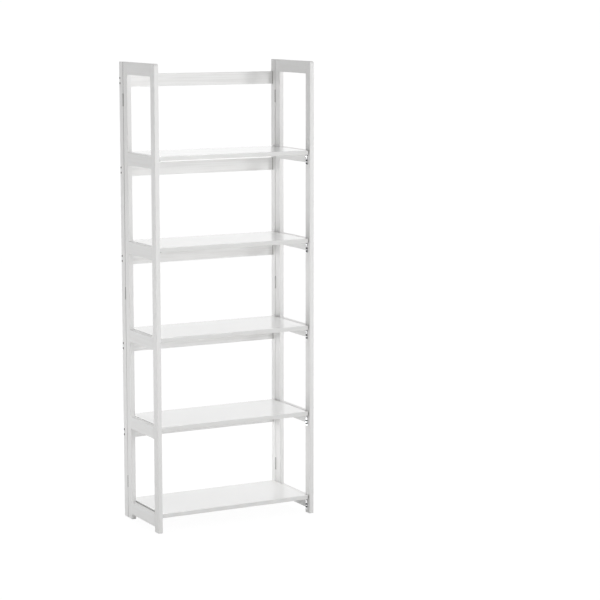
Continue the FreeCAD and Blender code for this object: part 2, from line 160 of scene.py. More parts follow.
# The eye sees the floor white, with a trace of the shadow on it.
floor_reach = 7.0              # half its width, in metres
floor_white = 0.9              # what it gives back of the light that falls on it
floor_trace = 0.12             # how much of that light, and so of a shadow, the eye sees
floor_seen = 0.93              # the even white that the eye sees besides
floor_mesh = bpy.data.meshes.new("floor")
floor_mesh.from_pydata([(-floor_reach, -floor_reach, 0), (floor_reach, -floor_reach, 0),
                        (floor_reach, floor_reach, 0), (-floor_reach, floor_reach, 0)], [], [(0, 1, 2, 3)])
floor = bpy.data.objects.new("floor", floor_mesh)
bpy.context.scene.collection.objects.link(floor)
paper = bpy.data.materials.new("floor_paper")
Shade.start(paper)
eye = seen_rays()
matt = Shade.make("ShaderNodeBsdfDiffuse", Color=eye * (floor_trace - floor_white) + floor_white)
glow = Shade.make("ShaderNodeEmission", Color=pure_white, Strength=eye * floor_seen)
Shade.make("ShaderNodeOutputMaterial", Surface=Shade.make("ShaderNodeAddShader", i0=matt, i1=glow))
floor_mesh.materials.append(paper)


def lamp(name, place, aim, width, height, power, spread=180.0):
    """A soft rectangular lamp that points at a place. spread is its beam's angle in degrees."""
    data = bpy.data.lights.new(name, "AREA")
    data.shape = "RECTANGLE"
    data.size = width
    data.size_y = height
    data.energy = power
    data.spread = math.radians(spread)
    light = bpy.data.objects.new(name, data)
    light.location = place
    light.rotation_euler = (Vector(aim) - Vector(place)).to_track_quat("-Z", "Y").to_euler()
    bpy.context.scene.collection.objects.link(light)


# A tall lamp at the right of the front draws the right side's shadow on the back rails.
lamp("tall", (1.87, -4.73, 1.75), (0.0, 0.0, 1.3), width=0.9, height=1.4, power=51.0)
# Two low ones at the left and one behind lift the lower half, the last the frames' inner faces.
lamp("left_front", (-1.9, -2.6, 0.4), (0.0, 0.0, 0.6), width=1.2, height=0.6, power=7.0)
lamp("left_side", (-2.4, 0.5, 0.4), (0.0, 0.0, 0.6), width=1.0, height=0.6, power=9.2)
lamp("behind", (-0.1, 1.8, 0.7), (0.1, 0.0, 0.65), width=0.4, height=1.2, power=6.5)
# A weak one close behind lifts the right side's inner faces above the lowest shelf. When that
# shelf is flipped up, its top faces this lamp, and near the right side it is overlit.
lamp("low_behind", (-0.2, 0.75, 0.16), (0.27, 0.05, 0.10), width=0.15, height=0.2, power=0.09, spread=40.0)


# ---- The posts and stiles: upright sticks of planed softwood, sanded and eased along their edges.
# They are sprayed with white satin lacquer. The grain shows only as faint lines along each stick,
# and the cut ends drink more lacquer and stay a little rougher and darker.
stick_white = (0.86, 0.86, 0.855, 1.0)
stick_shaded = (0.80, 0.795, 0.785, 1.0)
stick_ends = (0.76, 0.755, 0.745, 1.0)
stick_gloss = 0.4              # the film's roughness
stick_fill = 0.4               # how well it hides the grain
painted_shade_grey = (0.30, 0.295, 0.28, 1.0)          # the dark grey of painted shade, and of the front stiles' darker feet
grain_drawn = 0.03             # how slowly the grain changes lengthways
growth_fade = (0.42, 0.62)     # the noise values between which a growth line is drawn
line_shade, pore_shade = 0.45, 0.4             # how far growth lines and pores shade bare wood
cloud_shade, even_shade = 0.3, 0.1             # and how far the film's thickness does, and all of it
line_rise, pore_rise = -0.6, 0.5               # how much bare wood's lines and pores stand out
ripple_rise, bare_ripple = 0.1, 0.35           # the film's ripple, and what bare wood adds to it
cloud_rough, pore_rough = 0.1, 0.15            # what clouds and bare wood's pores do to the roughness
cut_pore_rough, cut_rough = 0.1, 0.15          # and what a cut end adds, in its pores and evenly
along_grain = (0.6, 0.9)       # a fade to the faces that look along the grain
squarely = (0.7, 0.95)         # a fade from faces that look aside to faces that look along an axis


def unsigned(vector, axis):
    """One of a vector's three parts, without its sign."""
    return part_of(vector, axis).maths("ABSOLUTE")


def white_lacquer(name, along, gloss, fill, coat, light, shaded, ends, cut=None, shade_mask=None):
    """White lacquer on wood with its grain along one axis. fill, 0 to 1, is how well it hides the grain.

    Two noises drawn out along the grain give wide growth lines and fine pores, an even noise gives
    the sprayed film's ripple, and a slow one the small changes in its thickness. ends is the colour
    of cut faces: cut makes their mask from Texture Coordinate's Normal, and without it they are the
    faces that look along the grain. The last argument makes the mask where the colour is drawn to a
    dark grey: painted shade in joints, corners and gaps, and the front stiles' darker feet.
    """
    material = bpy.data.materials.new(name)
    Shade.start(material)
    place = Shade.make("ShaderNodeTexCoord", output="Object")
    facing = Shade.make("ShaderNodeTexCoord", output="Normal")
    stretch = [1.0, 1.0, 1.0]
    stretch["XYZ".index(along)] = grain_drawn
    drawn_out = Shade.make("ShaderNodeMapping", Vector=place, Scale=stretch)
    growth = Shade.make("ShaderNodeTexNoise", Vector=drawn_out, Scale=120.0, Detail=2.0, Roughness=0.4)
    pores = Shade.make("ShaderNodeTexNoise", Vector=drawn_out, Scale=1100.0, Detail=3.0, Roughness=0.6)
    clouds = Shade.make("ShaderNodeTexNoise", Vector=place, Scale=7.0, Detail=3.0)
    ripple = Shade.make("ShaderNodeTexNoise", Vector=place, Scale=500.0, Detail=1.0)
    cut_end = cut(facing) if cut else unsigned(facing, along).over(*along_grain)
    lines = growth.over(*growth_fade)
    open_grain = 1 - fill
    tone = (lines * (line_shade * open_grain) + pores * (pore_shade * open_grain)
            + (clouds - 0.5) * cloud_shade + even_shade)
    colour = cut_end.between(tone.between(light, shaded), ends)
    # Painted shade: where the mask is full, the colour becomes the dark grey.
    if shade_mask:
        colour = shade_mask(place, facing).between(colour, painted_shade_grey)
    height = (lines * (line_rise * open_grain) + pores * (pore_rise * open_grain + cut_end)
              + ripple * (ripple_rise + bare_ripple * open_grain))
    relief = Shade.make("ShaderNodeBump", Height=height, Strength=0.35, Distance=0.0003)
    roughness = ((clouds - 0.5) * cloud_rough
                 + (pores - 0.5) * (pore_rough * open_grain + cut_end * cut_pore_rough)
                 + cut_end * cut_rough + gloss)
    paint = Shade.make("ShaderNodeBsdfPrincipled", Base_Color=colour, Roughness=roughness, Normal=relief,
                       IOR=1.48, Coat_Weight=coat, Coat_Roughness=0.12, Coat_IOR=1.6)
    Shade.make("ShaderNodeOutputMaterial", Surface=paint)
    return material


def finish(node, material):
    """Gives a CAD node one material all over."""
    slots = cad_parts[node].data.materials
    slots.clear()
    slots.append(material)


# Pairs are fades, from where one begins to where it is full. Here and in the sections below, all
# that a material measures is in metres.
hinge_spacing, lowest_hinge = 0.67, 0.13
joint_outer = (0.2945, 0.2955)         # where the outer half of a joint begins
leaf_end = (0.0205, 0.0235)            # where a leaf ends, above and below its hinge's middle
stile_lip = (0.1076, 0.1112)           # the last of a rear stile before the joint
post_lip = (0.1161, 0.1197)            # the first of a post behind the joint
shade_rise = (0.2, 1.5)                # the heights over which the painted shade in the joints grows
shade_least = 0.2                      # what is left of the mask at the floor
foot = (0.0, 0.7)                      # the heights over which the feet's darkening ends
foot_darkening = 0.12                       # how strong that darkening is at the floor


def joint_painted_shade(place, in_joint, beside_joint):
    """The mask of painted shade on the outer half of a joint's face, and in a fine line beside each hinge
    leaf.

    The hinges stand at even heights, so the height above the lowest one, taken modulo their
    spacing, tells how far from a hinge's middle a point is. The mask grows with the height.
    """
    height = part_of(place, "Z")
    outer = unsigned(place, "X").over(*joint_outer)
    above = (height - (lowest_hinge - hinge_spacing / 2)).maths("FLOORED_MODULO", hinge_spacing)
    at_hinge = 1 - (above - hinge_spacing / 2).maths("ABSOLUTE").over(*leaf_end)
    joint_shade = in_joint.maths("MAXIMUM", at_hinge * beside_joint)
    return outer * joint_shade * (height.over(*shade_rise) * (1 - shade_least) + shade_least)


# The faces in the joint between a post and the rear stile in front of it are painted grey as the
# shade in that narrow gap, least near the floor, and a soft line of painted shade lies along each
# hinge leaf. The front stiles' feet are drawn a little darker towards the floor.
sticks = {
    "front_stile": lambda place, facing: (1 - part_of(place, "Z").over(*foot)) * foot_darkening,
    "rear_stile": lambda place, facing: joint_painted_shade(
        place, part_of(facing, "Y").over(*squarely), part_of(place, "Y").over(*stile_lip)),
    "back_post": lambda place, facing: joint_painted_shade(
        place, (part_of(facing, "Y") * -1.0).over(*squarely), 1 - part_of(place, "Y").over(*post_lip))}
for stick, stick_shade_mask in sticks.items():
    stick_lacquer = white_lacquer(
        f"lacquer_{stick}", along="Z", gloss=stick_gloss, fill=stick_fill, coat=0.0,
        light=stick_white, shaded=stick_shaded, ends=stick_ends, shade_mask=stick_shade_mask)
    for side in ("left", "right"):
        finish(f"{side}_{stick}", stick_lacquer)


# ---- The back rails: five planed boards between the posts, with the grain lying along them.
# Each is screwed through both posts, and the lacquer over its open grain shows the most lines.
# In the corner against a post a fine dark line of painted shade is drawn.
# Their white is lighter than the sticks' white under the same lacquer: painted light.
rail_white_lit = (0.93, 0.93, 0.925, 1.0)
rail_shaded = (0.81, 0.805, 0.795, 1.0)
rail_corner_shade = (0.2835, 0.2855)         # the last of a rail before the post, where the painted shade lies
back_rail_lacquer = white_lacquer(
    "lacquer_back_rail", along="X", gloss=stick_gloss, fill=0.0, coat=0.0,
    light=rail_white_lit, shaded=rail_shaded, ends=stick_ends,
    shade_mask=lambda place, facing: unsigned(place, "X").over(*rail_corner_shade))
for level in range(1, 6):
    finish(f"back_rail_{level}", back_rail_lacquer)


# ---- The back rail screws: steel, blackened, with a countersunk head and a hexagon socket.
# Two at each end of a back rail go in through the post, until their heads are flush with its face.
thousandth = 0.001             # pieces are in millimetres, and their meshes in metres
sides = (("left", -1), ("right", 1))           # each side's name and its sign of x
turn_steps = 24                # points round a turned piece
thread_steps = 6               # rings to one turn of a thread
blunt = 0.15                   # what is left of a screw's radius at its tip
sharp_angle = 35               # degrees between faces above which their edge stays sharp
full_turn = 2 * math.pi
round_angles = np.arange(turn_steps) * full_turn / turn_steps
half_width = 302.5
inner_face = 286.5             # the posts' and side frames' faces towards the shelves
rail_screw_y = 139.0
level_pitch = 307.8            # from one shelf to the next
back_rail_middles = 1535.0 - level_pitch * np.arange(5)
screw_pair = np.array([-9.0, 9.0])             # from a back rail's middle
socket_corner, socket_rim = 2.4, 1.08          # its radius, and how much wider its chamfer is
rail_screw_head, rail_screw_shank = 4.0, 2.3   # their radii
rail_thread_start, rail_screw_length = 14.0, 45.0
blackened = (0.020, 0.020, 0.021, 1.0)
rubbed = (0.06, 0.059, 0.058, 1.0)
bare_steel = (0.34, 0.335, 0.33, 1.0)


def skin(rings, joined=False):
    """A closed skin over rings of points, an array of rings by points by 3.

    Each ring is tied to the next by four-sided faces. The last ring is tied to the first where
    joined, and otherwise the first and last ring are each closed by triangles to their middle.
    """
    count, around = rings.shape[:2]
    points = rings.reshape(-1, 3)
    step = np.arange(count if joined else count - 1)[:, None]
    here = np.arange(around)[None, :]
    after, above = (here + 1) % around, (step + 1) % count
    quads = np.stack([step * around + here, step * around + after,
                      above * around + after, above * around + here], axis=-1).reshape(-1, 4)
    if joined:
        return points, quads, np.empty((0, 3), int)
    points = np.vstack([points, rings[0].mean(0), rings[-1].mean(0)])
    edge, after = np.arange(around), (np.arange(around) + 1) % around
    last = (count - 1) * around
    first_fan = np.stack([after, edge, np.full(around, count * around)], axis=1)
    last_fan = np.stack([edge + last, after + last, np.full(around, count * around + 1)], axis=1)
    return points, quads, np.vstack([first_fan, last_fan])


def turned(heights, radii, angles=round_angles):
    """A turned piece about Z: at each height a ring whose radius may also change with the angle."""
    radii = np.broadcast_to(np.asarray(radii, float), (len(heights), len(angles)))
    level = np.broadcast_to(np.asarray(heights, float)[:, None], radii.shape)
    return skin(np.stack([radii * np.cos(angles), radii * np.sin(angles), level], axis=-1))


def threaded(radius, start, end, pitch, depth, point, angles):
    """Rings of a screw's shank with its thread, as heights and radii.

    The radius falls by depth away from a ridge that climbs one pitch a turn, half a pitch wide.
    Over the last part, point long, everything narrows to the tip.
    """
    heights = np.arange(start, end, pitch / thread_steps)
    climb = (heights[:, None] / pitch - angles[None, :] / full_turn) % 1.0
    ridge = np.clip(1 - np.abs(2 * climb - 1) * 2, 0, 1)
    narrowing = np.clip((end - heights) / point, blunt, 1)[:, None]
    return heights, (radius - depth * (1 - ridge)) * narrowing


def stacked(*parts):
    """Heights and radii of several stretches of a turned piece, one after the other."""
    heights = np.concatenate([np.asarray(stretch, float) for stretch, _ in parts])
    return heights, np.vstack([radii for _, radii in parts])


def copies(shape, places, across, up):
    """One shape set out at many places, with its X along across and its Z along up."""
    points, quads, triangles = shape
    across, up = np.asarray(across, float), np.asarray(up, float)
    turned_points = points @ np.array([across, np.cross(up, across), up])
    places = np.asarray(places, float)
    offsets = np.arange(len(places))[:, None, None] * len(points)
    return ((places[:, None, :] + turned_points[None]).reshape(-1, 3),
            (quads[None] + offsets).reshape(-1, 4), (triangles[None] + offsets).reshape(-1, 3))


def build(name, shapes, mirror, material, body, node):
    """One piece from closed shapes. It is mirrored for the left side, and its faces point outwards.

    A shape whose volume, the sum of its faces' pyramids from the origin, is negative is turned round.
    """
    all_points, corners, sizes, base = [], [], [], 0
    for points, quads, triangles in shapes:
        points = points * (mirror, 1.0, 1.0)
        halves = np.vstack([quads[:, [0, 1, 2]], quads[:, [0, 2, 3]], triangles])
        a, b, c = (points[halves[:, i]] for i in range(3))
        if np.einsum("ij,ij->", a, np.cross(b, c)) < 0:
            quads, triangles = quads[:, ::-1], triangles[:, ::-1]
        corners += [(quads + base).ravel(), (triangles + base).ravel()]
        sizes += [np.full(len(quads), 4), np.full(len(triangles), 3)]
        all_points.append(points)
        base += len(points)
    all_points, corners, sizes = map(np.concatenate, (all_points, corners, sizes))
    mesh = bpy.data.meshes.new(name)
    mesh.vertices.add(len(all_points))
    mesh.vertices.foreach_set("co", (all_points * thousandth).ravel())
    mesh.loops.add(len(corners))
    mesh.loops.foreach_set("vertex_index", corners)
    mesh.polygons.add(len(sizes))
    mesh.polygons.foreach_set("loop_start", np.concatenate([[0], np.cumsum(sizes)[:-1]]))
    mesh.update(calc_edges=True)
    mesh.shade_smooth()
    mesh.set_sharp_from_angle(angle=math.radians(sharp_angle))
    mesh.materials.append(material)
    piece = bpy.data.objects.new(name, mesh)
    bpy.context.scene.collection.objects.link(piece)
    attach(piece, body)
    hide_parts(node)


def dark_metal(name, seed, handled=None):
    """Blackened steel: a matt oxide film, mottled by a slow noise and rubbed brighter in small spots.

    handled makes from place the mask of what hands and use have rubbed to the bare steel.
    """
    material = bpy.data.materials.new(name)
    Shade.start(material)
    place = Shade.make("ShaderNodeTexCoord", output="Object")
    moved = Shade.make("ShaderNodeMapping", Vector=place, Location=(seed, 0.0, 0.0))
    mottle = Shade.make("ShaderNodeTexNoise", Vector=moved, Scale=420.0, Detail=4.0)
    grit = Shade.make("ShaderNodeTexNoise", Vector=moved, Scale=2600.0, Detail=2.0)
    worn = (mottle * 0.7 + grit * 0.3).over(0.56, 0.72)
    colour = worn.between(blackened, rubbed)
    if handled:
        colour = handled(place).between(colour, bare_steel)
    relief = Shade.make("ShaderNodeBump", Height=grit + mottle * 0.5, Strength=0.3, Distance=0.00008)
    metal = Shade.make("ShaderNodeBsdfPrincipled", Base_Color=colour, Metallic=1.0,
                       Roughness=mottle * 0.25 + 0.28 - worn * 0.1, Normal=relief)
    Shade.make("ShaderNodeOutputMaterial", Surface=metal)
    return material


# The hexagon's radius at an angle is its flat's distance divided by the cosine from that flat's middle.
sixth = full_turn / 6
from_flat = (round_angles % sixth) - sixth / 2
hexagon = math.cos(sixth / 2) / np.cos(from_flat)
circle = np.ones(turn_steps)
# From the socket's floor to its chamfered rim, over the head and down the plain shank to the thread.
rail_screw = turned(*stacked(
    ([1.8, 0.2, 0.0], socket_corner * np.outer([1.0, 1.0, socket_rim], hexagon)),
    ([0.0, 0.15, 3.0, rail_thread_start],
     np.outer([rail_screw_head - 0.15, rail_screw_head, rail_screw_shank, rail_screw_shank], circle)),
    threaded(radius=rail_screw_shank, start=rail_thread_start, end=rail_screw_length,
             pitch=3.0, depth=0.6, point=5.0, angles=round_angles)))
rail_screw_steel = dark_metal("blackened_steel", seed=0.0)
rail_screw_places = [(half_width, rail_screw_y, middle + offset)
                     for middle in back_rail_middles for offset in screw_pair]
for side, mirror in sides:
    build(f"{side}_rail_screw_set", [copies(rail_screw, rail_screw_places, (0, 1, 0), (-1, 0, 0))],
          mirror, rail_screw_steel, "back_frame", f"{side}_rail_screws")


# ---- The pivot pins: ground steel rod, bright zinc plated, chamfered at both ends.
# They are driven into the posts, and the rear edge of each shelf turns on a pair of them.
pin_y = 125.0
pin_levels = np.array([1284.7, 976.9, 669.1, 361.3, 58.5])
pin_start = 273.0              # its inner end, inside the shelf
pin_radius, pin_length = 3.0, 22.5
zinc_light = (0.88, 0.885, 0.89, 1.0)
zinc_dull = (0.74, 0.745, 0.755, 1.0)
# The sheared edges' near-black is partly their bare cut steel and partly painted shade.
sheared_edge_shade = (0.08, 0.08, 0.08, 1.0)
brush_drawn = 0.06             # how slowly the brushing changes along its strokes


def bright_metal(name, along, edge_shade=None):
    """Bright zinc on steel: brushed along one axis, with soft cloudy patches and a few dull spots.

    The last argument makes from Texture Coordinate's Normal the mask of the edges cut after the plating,
    drawn near-black: partly their bare steel, partly painted shade.
    """
    material = bpy.data.materials.new(name)
    Shade.start(material)
    place = Shade.make("ShaderNodeTexCoord", output="Object")
    stretch = [1.0, 1.0, 1.0]
    stretch["XYZ".index(along)] = brush_drawn
    strokes = Shade.make("ShaderNodeMapping", Vector=place, Scale=stretch)
    brushed = Shade.make("ShaderNodeTexNoise", Vector=strokes, Scale=3800.0, Detail=2.0)
    clouds = Shade.make("ShaderNodeTexNoise", Vector=place, Scale=160.0, Detail=3.0)
    spots = Shade.make("ShaderNodeTexVoronoi", Vector=place, Scale=260.0)
    dull = (clouds * 0.8 + (1 - spots.over(0.05, 0.3)) * 0.2).over(0.35, 0.75)
    colour = dull.between(zinc_light, zinc_dull)
    if edge_shade:
        colour = edge_shade(Shade.make("ShaderNodeTexCoord", output="Normal")).between(colour, sheared_edge_shade)
    relief = Shade.make("ShaderNodeBump", Height=brushed, Strength=0.25, Distance=0.00004)
    metal = Shade.make("ShaderNodeBsdfPrincipled", Base_Color=colour, Metallic=1.0,
                       Roughness=brushed * 0.12 + dull * 0.12 + 0.18, Normal=relief)
    Shade.make("ShaderNodeOutputMaterial", Surface=metal)
    return material


def bar(length, end_heights, end_radii):
    """A turned bar whose two ends are alike: the heights and radii of one end, then the same reversed."""
    end_heights = np.asarray(end_heights, float)
    return turned(np.concatenate([end_heights, length - end_heights[::-1]]),
                  np.vstack([end_radii, end_radii[::-1]]))


pin_zinc = bright_metal("zinc_pin", along="X")
pivot_pin = bar(pin_length, [0.0, 0.15, 0.7], np.outer([2.3, 2.5, pin_radius], circle))
pin_places = [(pin_start, pin_y, level) for level in pin_levels]
for side, mirror in sides:
    build(f"{side}_pivot_pin_set", [copies(pivot_pin, pin_places, (0, 1, 0), (1, 0, 0))],
          mirror, pin_zinc, "back_frame", f"{side}_shelf_pivot_pins")


# ---- The side rails: six short boards in each side frame, glued and dowelled between its stiles.
# Their grain lies from front to back, under the same lacquer as the stiles.
side_rail_lacquer = white_lacquer(
    "lacquer_side_rail", along="Y", gloss=stick_gloss, fill=stick_fill, coat=0.0,
    light=stick_white, shaded=stick_shaded, ends=stick_ends)
for side in ("left", "right"):
    for level in range(1, 7):
        finish(f"{side}_side_rail_{level}", side_rail_lacquer)


# ---- The dowels: fluted beech, chamfered, two in each joint of a side frame.
# The flutes let the glue rise as the dowel is driven in.
beech_light = (0.62, 0.43, 0.26, 1.0)
beech_dark = (0.45, 0.28, 0.15, 1.0)
fibre_drawn = 0.06             # how slowly the fibres change lengthways
dowel_x = 294.5
dowel_radius, dowel_length = 3.0, 24.5
dowel_pair = (-7.5, 7.5)       # from a side rail's middle
flute_radius = 0.94            # what a flute leaves of the radius
rail_middles = 1578.5 - level_pitch * np.arange(6)
stile_joints = ((-120.5, 1), (87.8, -1))       # where a dowel starts inside its stile, and its way

beech = bpy.data.materials.new("beech")
Shade.start(beech)
along_dowel = Shade.make("ShaderNodeMapping", Vector=Shade.make("ShaderNodeTexCoord", output="Object"),
                         Scale=(1.0, fibre_drawn, 1.0))
fibre = Shade.make("ShaderNodeTexNoise", Vector=along_dowel, Scale=900.0, Detail=4.0)
flecks = Shade.make("ShaderNodeTexNoise", Vector=along_dowel, Scale=2800.0, Detail=1.0).over(0.58, 0.66)
Shade.make("ShaderNodeOutputMaterial", Surface=Shade.make(
    "ShaderNodeBsdfPrincipled", Base_Color=(fibre + flecks * 0.4).between(beech_light, beech_dark),
    Roughness=fibre * 0.2 + 0.5,
    Normal=Shade.make("ShaderNodeBump", Height=fibre, Strength=0.4, Distance=0.0002)))

# Every second point of the turned bar lies deeper, which makes twelve flutes.
flute = np.where(np.arange(turn_steps) % 2, flute_radius, 1.0)
dowel = bar(dowel_length, [0.0, 0.9, 1.6], np.vstack([2.2 * circle, 2.9 * circle, dowel_radius * flute]))
dowel_levels = [middle + offset for middle in rail_middles for offset in dowel_pair]
for side, mirror in sides:
    rows = [copies(dowel, [(dowel_x, start, level) for level in dowel_levels], (1, 0, 0), (0, way, 0))
            for start, way in stile_joints]
    build(f"{side}_dowel_set", rows, mirror, beech, f"{side}_side", f"{side}_side_dowels")


# ---- The hinges: three butt hinges a side, pressed from blackened sheet steel.
# The sheet is rolled round the pin into knuckles, two on the post's leaf and one on the side
# frame's between them. The leaves lie between post and stile, so only their edges show.
hinge_y = 113.65
hinge_levels = np.array([130.0, 800.0, 1470.0])
leaf_inner, leaf_outer = 288.9, 302.4
leaf_half_height = 22.0
leaf_gap, leaf_thickness = 0.3, 1.2
leaf_corner = 2.0
hinge_screw_x, hinge_screw_rise = 294.5, 14.0
hinge_screw_shank, hinge_screw_head, hinge_screw_length = 1.4, 2.85, 17.0
hinge_hole, hinge_countersink = 1.42, 2.9      # radii, as the screw's shank and head are
sheet_in_roll = 0.95
roll_radius = 1.62             # from the pin's middle to the middle of the rolled sheet
roll_lap = 0.3                 # how far the rolled strip reaches into the plate
roll_left_open = 0.35          # radians short of a full turn
roll_steps = 22
hinge_pin_radius, hinge_pin_head = 1.1, 1.8
knuckle_gap = 0.3
knuckle_length = (2 * leaf_half_height - 2 * knuckle_gap) / 3
knuckle_step = knuckle_length + knuckle_gap
knuckle_ease = 0.15            # chamfer of the sheet's edges


def half_leaf(toward, upward):
    """Half of a leaf's plate, round one countersunk hole.

    Its outline runs round the half plate, with the outer corner rounded. The hole's rings lie in
    the same directions as the outline's points, so rings of faces tie the two together.
    """
    # The heights of the points on the two long edges, and how far out those on the short ones are.
    outer_edge, inner_edge = np.linspace(0, 18, 6), np.linspace(20, 0, 6)
    end_edge, middle_line = np.linspace(299, leaf_inner, 5), np.linspace(290.5, 300.5, 5)
    bend = np.linspace(0, math.pi / 2, 5)
    corner = np.stack([leaf_outer - leaf_corner + leaf_corner * np.sin(bend)[::-1],
                       leaf_half_height - leaf_corner + leaf_corner * np.cos(bend)[::-1]], axis=1)
    outline = np.vstack([
        np.stack([np.full(6, leaf_outer), outer_edge], axis=1), corner,
        np.stack([end_edge, np.full(5, leaf_half_height)], axis=1),
        np.stack([np.full(6, leaf_inner), inner_edge], axis=1),
        np.stack([middle_line, np.zeros(5)], axis=1)])
    hole = np.array([hinge_screw_x, hinge_screw_rise])
    ways = (outline - hole) / np.linalg.norm(outline - hole, axis=1, keepdims=True)
    near, far = leaf_gap / 2, leaf_gap / 2 + leaf_thickness

    def ring(flat, depth):
        """A ring of the plate's points, this deep from the joint's middle."""
        level = np.full(len(flat), hinge_y + toward * depth)
        return np.stack([flat[:, 0], level, flat[:, 1] * upward], axis=1)

    return skin(np.stack([ring(outline, near), ring(hole + ways * hinge_countersink, near),
                          ring(hole + ways * hinge_hole, far), ring(outline, far)]), joined=True)


def knuckle(toward, low):
    """One rolled knuckle: a strip of sheet carried along a line and then round the pin.

    The line leaves the plate's edge and touches the roll's circle. From there the strip turns
    until it meets the plate again.
    """
    start = np.array([leaf_inner + roll_lap - inner_face, leaf_gap / 2 + leaf_thickness / 2])
    reach = np.linalg.norm(start)
    touch = math.atan2(start[1], start[0]) + math.acos(roll_radius / reach)
    turn = np.linspace(touch, full_turn - roll_left_open, roll_steps)
    path = np.vstack([start, np.stack([np.cos(turn), np.sin(turn)], axis=1) * roll_radius])
    ways = np.gradient(path, axis=0)
    ways /= np.linalg.norm(ways, axis=1, keepdims=True)
    sideways = np.stack([-ways[:, 1], ways[:, 0]], axis=1)
    thick, tall, ease = sheet_in_roll / 2, knuckle_length / 2, knuckle_ease
    section = np.array([(thick, tall - ease), (thick - ease, tall),
                        (ease - thick, tall), (-thick, tall - ease),
                        (-thick, ease - tall), (ease - thick, -tall),
                        (thick - ease, -tall), (thick, ease - tall)])
    flat = path[:, None, :] + sideways[:, None, :] * section[None, :, :1]
    return skin(np.stack([inner_face + flat[..., 0], hinge_y + toward * flat[..., 1],
                          np.broadcast_to(low + tall + section[:, 1], flat.shape[:2])], axis=-1))


# The points round a cross-recessed screw stand at the corners of the cross and between them.
cross_span, cross_width = 1.74, 0.35
cross_corner = math.degrees(math.atan2(cross_width, cross_span))
quarter = np.array([0.0, cross_corner, 27.0, 45.0, 63.0, 90.0 - cross_corner])
cross_angles = np.radians(np.concatenate([quarter + 90.0 * i for i in range(4)]))
floor_span, floor_width = 0.6, 0.8             # a recess's floor, as shares of its rim
hair = 1e-6                                    # keeps a direction along a bar from dividing by zero


def star(span, width):
    """A cross's radius at each of the screw's angles: the farther edge of its two crossed bars."""
    across, along = np.abs(np.cos(cross_angles)), np.abs(np.sin(cross_angles))
    bars = [np.minimum(span / np.maximum(a, hair), width / np.maximum(b, hair))
            for a, b in ((across, along), (along, across))]
    return np.maximum(*bars)


def recess(span, width):
    """Radii of a cross recess, first at its floor and then at its rim."""
    return np.vstack([star(span * floor_span, width * floor_width), star(span, width)])


# The knuckles and pins lie inwards of the leaves, where hands and use rub them bare. The leaves'
# near-black is partly the oxide and partly painted shade of the narrow gap between post and stile.
leaf_begins = (0.2885, 0.2892)
hinge_steel = dark_metal("hinge_steel", seed=3.1,
                         handled=lambda place: 1 - unsigned(place, "X").over(*leaf_begins))
# From the recess's floor over the countersunk head and down the shank to the thread.
hinge_screw = turned(*stacked(
    ([0.8, 0.0], recess(cross_span, cross_width)),
    ([0.0, 0.08, 1.2, 1.5],
     np.outer([hinge_screw_head - 0.05, hinge_screw_head, hinge_screw_shank, hinge_screw_shank], circle)),
    threaded(radius=hinge_screw_shank, start=1.8, end=hinge_screw_length,
             pitch=1.6, depth=0.35, point=4.0, angles=cross_angles)),
    angles=cross_angles)
# Each end has a domed head, which is wider than the rod.
hinge_pin = bar(2 * leaf_half_height, [-0.7, -0.62, -0.35, 0.0, 0.0],
                np.outer([0.7, 1.3, 1.75, hinge_pin_head, hinge_pin_radius], circle))
screw_heights = [level + offset for level in hinge_levels for offset in (-hinge_screw_rise, hinge_screw_rise)]
for side, mirror in sides:
    for part, toward, own_knuckles, body in (("post", 1, (0, 2), "back_frame"),
                                             ("frame", -1, (1,), f"{side}_side")):
        shapes = [half_leaf(toward, upward) for upward in (-1, 1)]
        shapes += [knuckle(toward, knuckle_step * index - leaf_half_height) for index in own_knuckles]
        leaves = [copies(shape, [(0, 0, level) for level in hinge_levels], (1, 0, 0), (0, 0, 1))
                  for shape in shapes]
        build(f"{side}_{part}_leaf_set", leaves, mirror, hinge_steel, body,
              f"{side}_{part}_hinge_leaves")
        places = [(hinge_screw_x, hinge_y + toward * leaf_gap / 2, height) for height in screw_heights]
        build(f"{side}_{part}_hinge_screw_set", [copies(hinge_screw, places, (1, 0, 0), (0, toward, 0))],
              mirror, hinge_steel, body, f"{side}_{part}_hinge_screws")
    places = [(inner_face, hinge_y, level - leaf_half_height) for level in hinge_levels]
    build(f"{side}_hinge_pin_set", [copies(hinge_pin, places, (1, 0, 0), (0, 0, 1))],
          mirror, hinge_steel, "back_frame", f"{side}_hinge_pins")


# ---- The catches: strips of spring steel, bright zinc plated, bent over at the top.
# Each is screwed to the inside of a front stile, and its tongue holds up one end of a shelf.
catch_y = -123.5
catch_width, catch_thickness = 12.0, 1.5
catch_drop, catch_reach = 37.0, 13.0
catch_bend = 9.75              # radius of the strip's middle
catch_foot_round = 3.0         # radius of the corners at its foot
catch_tip_round = 1.0          # and at its tip
catch_seat = 0.1               # shelf's underside to the tongue
catch_ease = 0.35              # radius along the strip's edges
catch_end_ease = 0.25          # how much thinner its two ends are on each face
catch_edge_shade = (0.75, 0.9)    # a fade to the faces that look sideways, the sheared edges drawn near-black, partly as painted shade
catch_foot_steps, catch_bend_steps, catch_edge_steps = 7, 14, 4
catch_straight = 5.0           # where its straight part begins, above its foot
shelf_undersides = np.array([1277.2, 969.4, 661.6, 353.8, 51.0])


